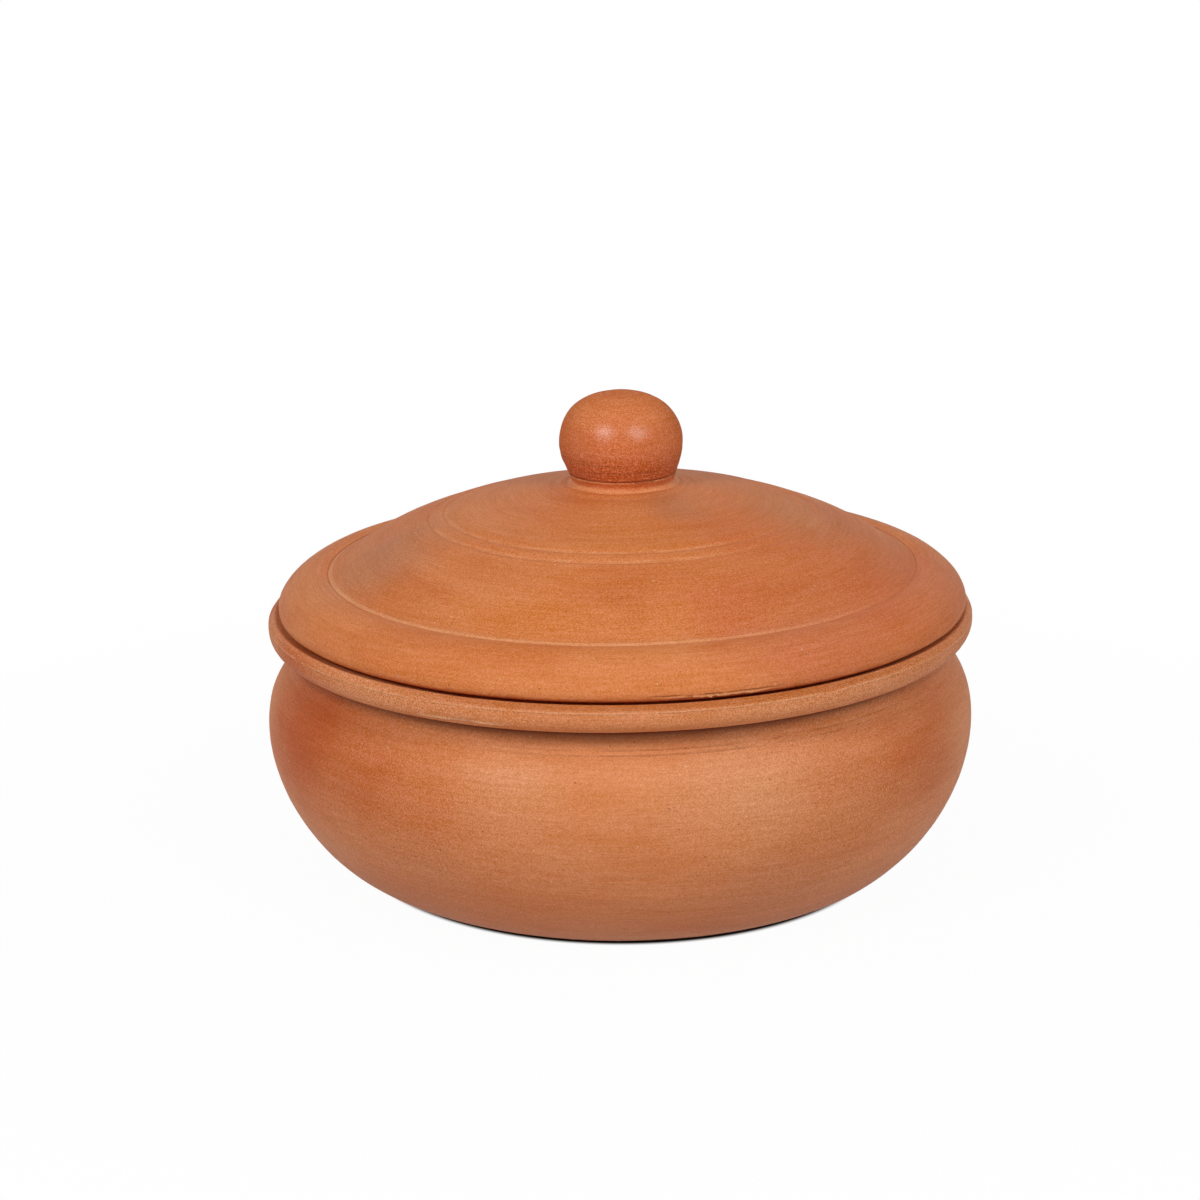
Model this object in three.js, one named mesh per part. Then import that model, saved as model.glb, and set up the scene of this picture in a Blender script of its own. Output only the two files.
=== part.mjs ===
// Clay handi: a squat earthenware cooking pot with a flanged, domed lid and a ball knob.
// Millimetres, +Z up. The origin is the middle of the pot's flat foot, on the surface it stands on.

import * as THREE from "three";

// Pot: radii of its main circles, and the heights between them
const FOOT_RADIUS = 80;
const BELLY_RADIUS = 115;
const BELLY_HEIGHT = 48;
const SHOULDER_RISE = 25;
const NECK_INSET = 10.5;
const NECK_HOLLOW = 2.5;
const LIP_OVERHANG = 9.7;
const LIP_DEPTH = 6.1;
const LIP_CREST_RISE = 3.4;
const POT_WALL = 8;
const POT_FLOOR = 9;
const MOUTH_ROUND = 3;

// Shoulder line: a shallow ring scratched round the pot where the shoulder turns into the neck
const SHOULDER_LINE_DROP = 5.5;
const SHOULDER_LINE_WIDTH = 2.2;
const SHOULDER_LINE_DEPTH = 0.35;

// Seat: a level land round the mouth that carries the lid, and a gallery between it and the lip's crest
const SEAT_DEPTH = 0.5;
const SEAT_WIDTH = 3;
const SEAT_CLEARANCE = 0.3;
const SEAT_PLAY = 0.8;
const GALLERY_DEPTH = 0.9;
const GALLERY_RAMP = 2;

// Lid: rounded flange, groove at the foot of the dome, dome and flat crown
const LID_REVEAL = 2.8;
const LID_EDGE_ROUND = 2.7;
const FLANGE_WIDTH = 16.2;
const FLANGE_HEIGHT = 12.2;
const DOME_STEP_RISE = 0.7;
const DOME_STEP_RUN = 0.5;
const DOME_RISE = 25.9;
const CROWN_MARGIN = 3;
const LID_WALL = 8.5;

// Double ring scratched round the dome
const RING_RADIUS = 56.8;
const RING_SPACING = 5.2;
const RING_COUNT = 2;
const RING_WIDTH = 2.4;
const RING_DEPTH = 0.45;

// Skirt under the lid that keeps it in the mouth
const SKIRT_CLEARANCE = 3;
const SKIRT_WALL = 6;
const SKIRT_DEPTH = 7;
const SKIRT_ROUND = 2;

// Ball knob on a short stem, and the coil of clay that beds the ball on the crown
const KNOB_RADIUS = 19.9;
const KNOB_UNDER_HEIGHT = 18;
const KNOB_OVER_HEIGHT = 16.8;
const STEM_INSET = 5.9;
const STEM_HEIGHT = 1;
const SLIP_BED = 0.3;
const COLLAR_FLARE = 7.25;
const COLLAR_EDGE = 0.4;
const COLLAR_SEAT_WIDTH = 2.8;
const COLLAR_SEAT_GAP = 0.4;
const COLLAR_WAIST_INSET = 0.6;
const COLLAR_WAIST_DROP = 2.1;

// How full each free curve is: the reach of its tangents as shares of its own run and rise
const HEEL_FULLNESS = { run: 0.44, rise: 0.49 };
const SHOULDER_FULLNESS = { low: 0.72, high: 0.22 };
const LIP_FULLNESS = { under: 0.68, face: 0.56, crest: 0.5 };
const FLANGE_FULLNESS = { edge: 0.56, run: 0.31, rise: 0.42 };
const DOME_FULLNESS = { footRun: 0.143, footRise: 0.19, crownRun: 0.787, crownRise: 0.408 };
const VAULT_FULLNESS = { footRun: 0.21, footRise: 0.58, crownRun: 0.457 };
const KNOB_FULLNESS = { side: 0.62, top: 0.62 };
const COLLAR_FULLNESS = { waist: 0.85, neck: 0.5 };

// Facets round the axis, and along each curve of a profile
const ROUND_SEGMENTS = 56;
const STEPS = {
  belly: 11, shoulder: 9, lip: 6, crest: 4, fillet: 3, innerShoulder: 6, innerHeel: 8,
  edge: 4, flange: 9, dome: 12, vault: 8, ballUnder: 6, ballOver: 9, flare: 5,
};

// Points of a profile closer than this are one point
const SAME_POINT = 1e-3;

// Fired clay of each piece
const POT_CLAY = { color: 0xc87a4e, roughness: 0.85, metalness: 0 };
const LID_CLAY = { color: 0xcb7a4a, roughness: 0.85, metalness: 0 };
const KNOB_CLAY = { color: 0xb5653c, roughness: 0.65, metalness: 0 };
const COLLAR_CLAY = { color: 0xc07246, roughness: 0.85, metalness: 0 };

// Sizes that follow from the ones above
const NECK_RADIUS = BELLY_RADIUS - NECK_INSET;
const NECK_HEIGHT = BELLY_HEIGHT + SHOULDER_RISE;
const MOUTH_RADIUS = NECK_RADIUS - POT_WALL;
const LIP_RADIUS = NECK_RADIUS + LIP_OVERHANG;
const LIP_BOTTOM = NECK_HEIGHT + NECK_HOLLOW;
const LIP_MIDDLE = LIP_BOTTOM + LIP_DEPTH;
const LIP_TOP = LIP_MIDDLE + LIP_CREST_RISE;
const SEAT_HEIGHT = LIP_TOP - SEAT_DEPTH;

const LID_HEIGHT = SEAT_HEIGHT + SEAT_CLEARANCE;
const LID_RADIUS = LIP_RADIUS - LID_REVEAL;
const LID_EDGE_CENTRE = LID_RADIUS - LID_EDGE_ROUND;
const GROOVE_RADIUS = LID_RADIUS - FLANGE_WIDTH;
const SKIRT_RADIUS = MOUTH_RADIUS - SKIRT_CLEARANCE;
const SKIRT_BORE = SKIRT_RADIUS - SKIRT_WALL;

const STEM_RADIUS = KNOB_RADIUS - STEM_INSET;
const STEM_TURN = Math.acos(STEM_RADIUS / KNOB_RADIUS);
const KNOB_MIDDLE = STEM_HEIGHT + KNOB_UNDER_HEIGHT * Math.sin(STEM_TURN);
const COLLAR_BORE = STEM_RADIUS + SLIP_BED;
const COLLAR_RADIUS = COLLAR_BORE + COLLAR_FLARE;
const COLLAR_TOP_RADIUS = COLLAR_BORE + COLLAR_SEAT_WIDTH;
const DOME_FOOT_HEIGHT = FLANGE_HEIGHT + DOME_STEP_RISE;
const CROWN_HEIGHT = DOME_FOOT_HEIGHT + DOME_RISE;
const CROWN_RADIUS = COLLAR_RADIUS + CROWN_MARGIN;

// A profile point: distance from the axis, then height.
function at(radius, height) {
  return new THREE.Vector2(radius, height);
}

// A cubic curve between two points, given the two points that its ends aim at.
function cubic(start, startAim, endAim, end, steps) {
  return new THREE.CubicBezierCurve(start, startAim, endAim, end).getPoints(steps);
}

// Part of an ellipse. Angles are in degrees, from straight out to straight up.
function arc(centre, halfWidth, halfHeight, from, to, steps) {
  const radians = THREE.MathUtils.degToRad;
  const curve = new THREE.EllipseCurve(
    centre.x, centre.y, halfWidth, halfHeight, radians(from), radians(to), to < from,
  );
  return curve.getPoints(steps);
}

// Part of a circle, for rounded edges and hollows.
function round(centre, radius, from, to, steps = STEPS.fillet) {
  return arc(centre, radius, radius, from, to, steps);
}

// Joins stretches of profile into one line, leaving out the points that two stretches share.
function join(...stretches) {
  const line = [];
  for (const point of stretches.flat()) {
    const last = line.at(-1);
    if (!last || last.distanceTo(point) > SAME_POINT) line.push(point);
  }
  return line;
}

// Where a stretch crosses a value of one coordinate ("x" is radius, "y" is height).
function crossing(stretch, axis, value) {
  const next = stretch.findIndex((p, i) => i > 0 && (p[axis] - value) * (stretch[i - 1][axis] - value) <= 0);
  const before = stretch[next - 1];
  const share = (value - before[axis]) / (stretch[next][axis] - before[axis]);
  return before.clone().lerp(stretch[next], share);
}

// Scratches a V-shaped line into a stretch: its edges lie on the stretch and its bed is one depth inside it.
function scratch(stretch, axis, middle, width, inward) {
  const edges = [middle - width / 2, middle + width / 2].map((value) => crossing(stretch, axis, value));
  const bed = crossing(stretch, axis, middle).add(inward);
  const clear = stretch.filter((p) => Math.abs(p[axis] - middle) > width / 2);
  const falling = stretch[0][axis] > stretch.at(-1)[axis];
  const line = [...clear, ...edges, bed].sort((a, b) => a[axis] - b[axis]);
  return falling ? line.reverse() : line;
}

// A round piece turned about the vertical axis from its profile.
function turned(name, profile, clay) {
  const geometry = new THREE.LatheGeometry(profile, ROUND_SEGMENTS).rotateX(Math.PI / 2);
  const mesh = new THREE.Mesh(geometry, new THREE.MeshStandardMaterial(clay));
  mesh.name = name;
  return mesh;
}

// The pot: flat foot, full belly, hollow neck, rolled lip, seat, mouth and an even wall inside.
function makePot() {
  const bellyRun = BELLY_RADIUS - FOOT_RADIUS;
  const lowerBelly = cubic(
    at(FOOT_RADIUS, 0),
    at(FOOT_RADIUS + HEEL_FULLNESS.run * bellyRun, 0),
    at(BELLY_RADIUS, BELLY_HEIGHT * (1 - HEEL_FULLNESS.rise)),
    at(BELLY_RADIUS, BELLY_HEIGHT),
    STEPS.belly,
  );
  const plainShoulder = cubic(
    at(BELLY_RADIUS, BELLY_HEIGHT),
    at(BELLY_RADIUS, BELLY_HEIGHT + SHOULDER_FULLNESS.low * SHOULDER_RISE),
    at(NECK_RADIUS, NECK_HEIGHT - SHOULDER_FULLNESS.high * SHOULDER_RISE),
    at(NECK_RADIUS, NECK_HEIGHT),
    STEPS.shoulder,
  );
  const shoulder = scratch(
    plainShoulder,
    "y",
    NECK_HEIGHT - SHOULDER_LINE_DROP,
    SHOULDER_LINE_WIDTH,
    at(-SHOULDER_LINE_DEPTH, 0),
  );
  const hollow = round(at(NECK_RADIUS + NECK_HOLLOW, NECK_HEIGHT), NECK_HOLLOW, 180, 90);
  const lipRun = LIP_OVERHANG - NECK_HOLLOW;
  const lipUnder = cubic(
    at(LIP_RADIUS - lipRun, LIP_BOTTOM),
    at(LIP_RADIUS - (1 - LIP_FULLNESS.under) * lipRun, LIP_BOTTOM),
    at(LIP_RADIUS, LIP_MIDDLE - LIP_FULLNESS.face * LIP_DEPTH),
    at(LIP_RADIUS, LIP_MIDDLE),
    STEPS.lip,
  );
  const crest = at(LID_RADIUS + SEAT_PLAY, LIP_TOP);
  const lipOver = new THREE.QuadraticBezierCurve(
    at(LIP_RADIUS, LIP_MIDDLE), at(LIP_RADIUS, LIP_TOP - LIP_FULLNESS.crest * (LIP_RADIUS - crest.x)), crest,
  ).getPoints(STEPS.crest);

  const galleryBed = SEAT_HEIGHT - GALLERY_DEPTH;
  const gallery = new THREE.QuadraticBezierCurve(
    crest, at(LID_RADIUS, SEAT_HEIGHT), at(LID_EDGE_CENTRE, galleryBed),
  ).getPoints(STEPS.fillet);
  const seatEdge = MOUTH_RADIUS + MOUTH_ROUND + SEAT_WIDTH;
  const seat = [at(seatEdge + GALLERY_RAMP, galleryBed), at(seatEdge, SEAT_HEIGHT)];
  const mouth = round(at(MOUTH_RADIUS + MOUTH_ROUND, SEAT_HEIGHT - MOUTH_ROUND), MOUTH_ROUND, 90, 180);
  const innerBelly = BELLY_RADIUS - POT_WALL;
  const innerFloor = FOOT_RADIUS - POT_WALL;
  const innerShoulder = cubic(
    at(MOUTH_RADIUS, NECK_HEIGHT),
    at(MOUTH_RADIUS, NECK_HEIGHT - SHOULDER_FULLNESS.high * SHOULDER_RISE),
    at(innerBelly, BELLY_HEIGHT + SHOULDER_FULLNESS.low * SHOULDER_RISE),
    at(innerBelly, BELLY_HEIGHT),
    STEPS.innerShoulder,
  );
  const innerHeel = cubic(
    at(innerBelly, BELLY_HEIGHT),
    at(innerBelly, BELLY_HEIGHT - HEEL_FULLNESS.rise * (BELLY_HEIGHT - POT_FLOOR)),
    at(innerFloor + HEEL_FULLNESS.run * (innerBelly - innerFloor), POT_FLOOR),
    at(innerFloor, POT_FLOOR),
    STEPS.innerHeel,
  );
  const profile = join(
    [at(0, 0)], lowerBelly, shoulder, hollow, lipUnder, lipOver, gallery, seat, mouth,
    innerShoulder, innerHeel, [at(0, POT_FLOOR)],
  );
  return turned("pot", profile, POT_CLAY);
}

// The lid, in its own frame: height 0 is the underside of the flange.
function makeLid() {
  const vaultFoot = FLANGE_HEIGHT - LID_WALL / 2;
  const vaultTop = CROWN_HEIGHT - LID_WALL;
  const vaultRise = vaultTop - vaultFoot;
  const vault = cubic(
    at(0, vaultTop),
    at(VAULT_FULLNESS.crownRun * SKIRT_BORE, vaultTop),
    at((1 - VAULT_FULLNESS.footRun) * SKIRT_BORE, vaultFoot + VAULT_FULLNESS.footRise * vaultRise),
    at(SKIRT_BORE, vaultFoot),
    STEPS.vault,
  );
  const skirtRound = Math.min(SKIRT_ROUND, SKIRT_WALL / 2);
  const skirtFoot = skirtRound - SKIRT_DEPTH;
  const skirtInside = round(at(SKIRT_BORE + skirtRound, skirtFoot), skirtRound, 180, 270);
  const skirtOutside = round(at(SKIRT_RADIUS - skirtRound, skirtFoot), skirtRound, 270, 360);
  const edge = round(at(LID_EDGE_CENTRE, LID_EDGE_ROUND), LID_EDGE_ROUND, -90, 0, STEPS.edge);
  const flangeRise = FLANGE_HEIGHT - LID_EDGE_ROUND;
  const flange = cubic(
    at(LID_RADIUS, LID_EDGE_ROUND),
    at(LID_RADIUS, LID_EDGE_ROUND + FLANGE_FULLNESS.edge * flangeRise),
    at(GROOVE_RADIUS + FLANGE_FULLNESS.run * FLANGE_WIDTH, FLANGE_HEIGHT + FLANGE_FULLNESS.rise * flangeRise),
    at(GROOVE_RADIUS, FLANGE_HEIGHT),
    STEPS.flange,
  );
  const domeFoot = GROOVE_RADIUS - DOME_STEP_RUN;
  const domeRun = domeFoot - CROWN_RADIUS;
  let dome = cubic(
    at(domeFoot, DOME_FOOT_HEIGHT),
    at(domeFoot - DOME_FULLNESS.footRun * domeRun, DOME_FOOT_HEIGHT + DOME_FULLNESS.footRise * DOME_RISE),
    at(CROWN_RADIUS + DOME_FULLNESS.crownRun * domeRun, CROWN_HEIGHT - DOME_FULLNESS.crownRise * DOME_RISE),
    at(CROWN_RADIUS, CROWN_HEIGHT),
    STEPS.dome,
  );
  for (let ring = 0; ring < RING_COUNT; ring += 1) {
    dome = scratch(dome, "x", RING_RADIUS + ring * RING_SPACING, RING_WIDTH, at(0, -RING_DEPTH));
  }
  const profile = join(
    vault, skirtInside, skirtOutside, [at(SKIRT_RADIUS, 0)], edge, flange, dome, [at(0, CROWN_HEIGHT)],
  );
  return turned("lid", profile, LID_CLAY);
}

// The knob, in its own frame: height 0 is the foot of its stem.
function makeKnob() {
  const stemTurn = THREE.MathUtils.radToDeg(STEM_TURN);
  const under = arc(at(0, KNOB_MIDDLE), KNOB_RADIUS, KNOB_UNDER_HEIGHT, -stemTurn, 0, STEPS.ballUnder);
  const top = KNOB_MIDDLE + KNOB_OVER_HEIGHT;
  const over = cubic(
    at(KNOB_RADIUS, KNOB_MIDDLE),
    at(KNOB_RADIUS, KNOB_MIDDLE + KNOB_FULLNESS.side * KNOB_OVER_HEIGHT),
    at(KNOB_FULLNESS.top * KNOB_RADIUS, top),
    at(0, top),
    STEPS.ballOver,
  );
  const profile = join([at(0, 0), at(STEM_RADIUS, 0)], under, over);
  return turned("knob", profile, KNOB_CLAY);
}

// A point of the coil's seat: it follows the underside of the ball, a gap below it.
function seatPoint(radius) {
  const underside = KNOB_MIDDLE - KNOB_UNDER_HEIGHT * Math.sqrt(1 - (radius / KNOB_RADIUS) ** 2);
  return at(radius, underside - COLLAR_SEAT_GAP);
}

// The luting coil under the ball, in the knob's frame: a ring with a narrow waist and a wide, flared foot.
function makeCollar() {
  const top = seatPoint(COLLAR_TOP_RADIUS);
  const waist = at(top.x - COLLAR_WAIST_INSET, top.y - COLLAR_WAIST_DROP);
  const flareRun = COLLAR_RADIUS - waist.x;
  const flareRise = waist.y - COLLAR_EDGE;
  const flare = new THREE.QuadraticBezierCurve(
    at(COLLAR_RADIUS, COLLAR_EDGE),
    at(waist.x + (1 - COLLAR_FULLNESS.waist) * flareRun, waist.y - COLLAR_FULLNESS.waist * flareRise),
    waist,
  ).getPoints(STEPS.flare);
  const neck = new THREE.QuadraticBezierCurve(
    waist, at(waist.x, waist.y + COLLAR_FULLNESS.neck * COLLAR_WAIST_DROP), top,
  ).getPoints(STEPS.fillet);
  const seat = [];
  for (let step = 1; step <= STEPS.fillet; step += 1) {
    seat.push(seatPoint(COLLAR_TOP_RADIUS - (step / STEPS.fillet) * COLLAR_SEAT_WIDTH));
  }
  const profile = join([at(COLLAR_BORE, 0), at(COLLAR_RADIUS, 0)], flare, neck, seat, [at(COLLAR_BORE, 0)]);
  return turned("knob_collar", profile, COLLAR_CLAY);
}

const knobGroup = new THREE.Group();
knobGroup.position.z = CROWN_HEIGHT + SLIP_BED;
knobGroup.add(makeKnob(), makeCollar());

const lidGroup = new THREE.Group();
lidGroup.position.z = LID_HEIGHT;
lidGroup.add(makeLid(), knobGroup);

const handi = new THREE.Group();
handi.add(makePot(), lidGroup);

export default handi;
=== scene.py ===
"""Looks of a clay handi: a squat earthenware pot with a rolled lip, a domed lid and a ball knob.

Each piece is turned again from the outline of its solid, much finer, with what the wheel and the hand
leave on it: throwing lines, a slight lean, torn edges and chips. The clay is made of shader nodes.
Metres, +Z up. A turn is an angle round the axis from the front, in degrees, positive to the right.
An arc is a distance along a piece's outline, and marks a circle round the piece.
"""
import math
from types import SimpleNamespace
from typing import NamedTuple

import bpy
import numpy as np
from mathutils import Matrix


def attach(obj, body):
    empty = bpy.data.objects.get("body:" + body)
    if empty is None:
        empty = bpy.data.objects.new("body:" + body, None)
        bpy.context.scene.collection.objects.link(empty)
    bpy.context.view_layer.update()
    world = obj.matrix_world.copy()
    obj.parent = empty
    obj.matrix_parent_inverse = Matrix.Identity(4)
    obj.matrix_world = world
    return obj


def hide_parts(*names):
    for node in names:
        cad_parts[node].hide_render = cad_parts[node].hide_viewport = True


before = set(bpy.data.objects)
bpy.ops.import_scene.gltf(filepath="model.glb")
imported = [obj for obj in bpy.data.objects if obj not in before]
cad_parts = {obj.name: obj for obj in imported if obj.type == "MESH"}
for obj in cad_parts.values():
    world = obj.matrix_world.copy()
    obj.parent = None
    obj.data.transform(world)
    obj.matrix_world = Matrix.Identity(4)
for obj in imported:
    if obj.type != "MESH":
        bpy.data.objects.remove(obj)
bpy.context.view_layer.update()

MM = 0.001


class Pattern(NamedTuple):
    """A noise: the size of its lumps, its finer detail, and how far it is drawn out round the axis."""
    size: float
    detail: float = 3.0
    roughness: float = 0.55
    stretch: float = 0.0


class Side(NamedTuple):
    """The part of a piece that faces a turn, fading out over a span of degrees."""
    turn: float
    span: float


class Line(NamedTuple):
    """A line round a piece, some distance past a named circle.

    It has gaps where a noise from 0 to 1 is under breaks, and its rise is its height against the sand's.
    """
    tone: str
    circle: str
    past: float
    width: float
    strength: float
    breaks: float = -1.0
    rise: float = 0.0
    side: Side = None


class Patch(NamedTuple):
    """A patch of another tone, at a turn and at a height or a radius of the surface."""
    tone: str
    turn: float
    at: float
    size: float
    strength: float


class Fade(NamedTuple):
    """A change to another tone from one height to another."""
    tone: str
    start: float
    end: float
    strength: float


class Coarse(NamedTuple):
    """A band along a named circle where the grain is stronger or weaker by a factor."""
    circle: str
    width: float
    factor: float


class Specks(NamedTuple):
    """Small specks: one for each spacing, of which a share is kept. Rise is as a line's."""
    tone: str
    spacing: float
    size: float
    kept: float
    strength: float
    rise: float


class Finish(NamedTuple):
    """How a clay catches the light. Matt edge is the roughness added where the surface turns away."""
    grain: float
    relief: float
    roughness: tuple
    sheen: float
    matt_edge: float


# Camera: in front of the pot, looking down at it
CAMERA_DISTANCE = 0.900
CAMERA_HEIGHT = 0.3375
CAMERA_DOWN = 15.669
CAMERA_LEFT = 0.417
LENS = 85.9
SENSOR = 36.0

# Light: two soft boxes in front and a room with a pale ceiling. A level of 1 shows a colour as written
BOX_TURN = 34.0
BOX_RISE = 38.0
BOX_DISTANCE = 1.1
BOX_SIDE = 0.3
BOX_LEVELS = (0.366, 0.313)
WALL_LEVEL = 0.05
CEILING_LEVEL = 0.40

# Floor: white to the camera but for the pot's shadow, which is faint further out, and a painted contact
# shadow, dark in the floor's colour at the foot
FLOOR_SIDE = 6.0
FLOOR_DROP = 0.2 * MM
FLOOR_GREY = 0.7
FLOOR_ROUGHNESS = 0.9
CONTACT_SHADOW_GREY = 0.03
CONTACT_FROM = 84.2 * MM
CONTACT_END = 86 * MM
SHADOW_FROM = 84.4 * MM
SHADOW_FAINT = 87 * MM
SHADOW_END = 420 * MM
FAINT_SHARE = 0.97

# Mesh: facets round the axis, spacings along an outline, and what counts as a corner, straight or outside
POT_FACETS = 640
LID_FACETS = 960
KNOB_FACETS = 280
COLLAR_FACETS = 280
DENSE = 0.1 * MM
SOFTENING = 0.25 * MM
FINE = 0.3 * MM
OUTSIDE = 0.85 * MM
INSIDE = 2.6 * MM
STEP_TURN = math.radians(7)
GRADING = 1.5 * MM
EDGE_SPAN = 0.8 * MM
CORNER = math.radians(48)
STRAIGHT = 5 * MM
FACING_OUT = 0.1
TOP_SHARE = 0.9
BLUR_REACH = 3
TOUCH = 1e-6

# Lean: the rim and lid are lower on the left, and the foot is level
LEAN = math.radians(0.95)
LEAN_START = 12 * MM
LEAN_FULL = 76 * MM

# Shifts to the right of the pot's middle, and the heights between which they change
LID_SHIFT = 0.5 * MM
BALL_SHIFT = 0.2 * MM
BALL_SHIFT_HEIGHTS = (126 * MM, 138 * MM)
TOP_SHIFT = -0.4 * MM
TOP_SHIFT_HEIGHTS = (140 * MM, 151 * MM)
STEM_SHIFT = 0.7 * MM
FOOT_SHIFT = -0.5 * MM
FOOT_SHIFT_HEIGHT = 45 * MM

# Noise in the meshes: its lattice, how fast throwing lines change round the axis, and how ragged a dent is
LATTICE_SIZE = 64
LATTICE = np.random.default_rng(11).uniform(-1, 1, (LATTICE_SIZE,) * 3)
WANDER = 1.3
DENT_RAGGED = 0.35
DENT_FLOOR = 0.35
DENT_LUMPS = 3

# Clay: its patterns, from slow changes of tone down to sand
SLOW = Pattern(22 * MM, stretch=0.4)
FLUSH = Pattern(15 * MM, detail=4.0, stretch=0.3)
WHEEL = Pattern(5 * MM, detail=4.0, roughness=0.6, stretch=0.03)
WEAR = Pattern(3 * MM)
GAPS = Pattern(11 * MM)
GAPS_FROM = (0.4, 0.2)
STREAKS = Pattern(0.7 * MM, roughness=0.6, stretch=0.05)
CLUMPS = Pattern(1.3 * MM, roughness=0.6)
CLUMPS_FROM = (0.11, 0.23, 0.37)
SAND = Pattern(0.45 * MM, detail=2.0, roughness=0.75)

# Clay: the values of a pattern between which a tone comes in, and the most that it comes in
SLOW_RANGE = (0.35, 0.65)
FLUSH_RANGE = (0.5, 0.75)
FLUSH_MOST = 0.45
WHEEL_RANGE = (0.5, 0.72)
WHEEL_MOST = 0.08
WEAR_RANGE = (0.35, 0.6)
WEAR_SHARES = (0.1, 0.5)
WORN_BENDS = (0.25, 0.8)
GAP_SOFTNESS = 0.08
LINE_CORE = 0.25

# Clay: how much each pattern changes the light, and its height against the sand's
LIGHT_RANGE = (0.28, 0.72)
CLUMP_LIGHT = 0.03
STREAK_LIGHT = 0.045
WHEEL_LIGHT = 0.024
CLUMP_RELIEF = 0.7
STREAK_RELIEF = 0.5
RELIEF_DEPTH = 0.25 * MM

# Clay: how much duller light grains are, where grain is coarser, how much stronger the grain is painted on
# grazing sides as shading, and where it is rougher
DULLING = 0.45
COARSE_CORE = 0.6
GRAZING_GRAIN_MORE = 0.7
ROUGHNESS_RANGE = (0.35, 0.65)
MATT_RANGE = (0.05, 0.75)

# Clay: patches are wider than tall, with a ragged edge
PATCH_RAGGED = 0.4
PATCH_FLAT = 1.5
PATCH_WAVE = 0.6
PATCH_DETAIL = 4.0

# Clay: pits and grains of chalk, and the finish of the plain pieces
SPECK_CORE = 0.4
PITS = Specks("dark", spacing=3.4 * MM, size=0.32 * MM, kept=0.35, strength=0.5, rise=-1.0)
CHALK = Specks("chalk", spacing=4.4 * MM, size=0.32 * MM, kept=0.5, strength=0.65, rise=0.0)
MATT = Finish(grain=0.125, relief=0.9, roughness=(0.5, 0.66), sheen=0.2, matt_edge=0.0)

# Pot: heights of its marks above the foot, and within how many rings the lip's crease and crest lie
LIP_LOWEST = 75 * MM
LIP_RINGS = 20
SHOULDER_HEIGHT = 67.5 * MM
HOLLOW_HEIGHT = 75 * MM
CHIP_HEIGHT = 77.5 * MM
CREASE_HEIGHT = 82.8 * MM
RED_RING_HEIGHT = 30.8 * MM

# Pot: swells, lumps and throwing lines, as depth and then width, size or spacing, and a chip in the lip
SHOULDER_SWELL = (0.2 * MM, 0.8 * MM)
CREASE_SWELL = (0.12 * MM, 0.6 * MM)
POT_LUMPS = ((0.12 * MM, 70 * MM), (0.05 * MM, 12 * MM), (0.02 * MM, 2 * MM))
POT_THROWS = ((0.05 * MM, 3.4 * MM), (0.025 * MM, 1.4 * MM))
CHIP_TURNS = (-25.2, -23.8, -22.6)
CHIP_SIZE = 2.0 * MM
CHIP_DEPTH = 0.4 * MM

# Pot: tones as sRGB, where its grain is coarser, where its grain is painted stronger as shading, its lines,
# and its patches, which are placed by height
# Pot tones: tan is the chip's bare clay and also painted highlights; the dark band under the lip and the rim
# tone are painted shade
POT_TONES = {
    "body": (216, 132, 80), "pale": (221, 142, 92), "red": (200, 106, 54), "ember": (191, 84, 18),
    "tan": (224, 154, 108), "low_brown": (187, 111, 73), "under_lip_shade": (98, 35, 8), "dark": (110, 55, 30),
    "flake": (244, 186, 142), "rim": (185, 103, 48), "chalk": (242, 212, 182),
}
# Darker and browner towards the foot
FOOT_FADE = Fade("low_brown", start=38 * MM, end=0, strength=0.4)
SANDY_LIP = Coarse("lip", width=10 * MM, factor=1.4)
# Painted shading: stronger grain on the left and right sides, where grazing light would show the relief
GRAZING_GRAIN_SIDES = (Side(-62, 62), Side(62, 62))
POT_LINES = (
    # Painted shade: a dark band in the hollow under the lip, where the lip's shadow falls
    Line("under_lip_shade", "hollow", 0, width=3.9 * MM, strength=0.92),
    Line("flake", "chip", 0.6 * MM, width=0.8 * MM, strength=1.0, rise=1.0, side=Side(-24.5, 9)),
    # Painted shade: the scratched shoulder lines are darkened as the shade inside them, with a small dip in
    # the bump
    Line("dark", "shoulder", 0, width=0.4 * MM, strength=0.22, breaks=0.4, rise=-0.8, side=Side(12, 45)),
    Line(
        "dark", "shoulder", 1.7 * MM, width=0.3 * MM, strength=0.18,
        breaks=0.44, rise=-0.8, side=Side(18, 50),
    ),
    # Painted shade: a darker band on the lip's top, where the lid's edge shades it
    Line("rim", "rim", 0.3 * MM, width=1.9 * MM, strength=0.95, breaks=0.1, side=Side(10, 65)),
    # Painted highlight: a pale line along the lip's crease, where it catches the light
    Line("tan", "crease", 0, width=0.45 * MM, strength=0.6, breaks=0.42, rise=0.8),
    Line("red", "red ring", 0, width=1.0 * MM, strength=0.3, breaks=0.45, rise=-0.3),
)
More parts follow.
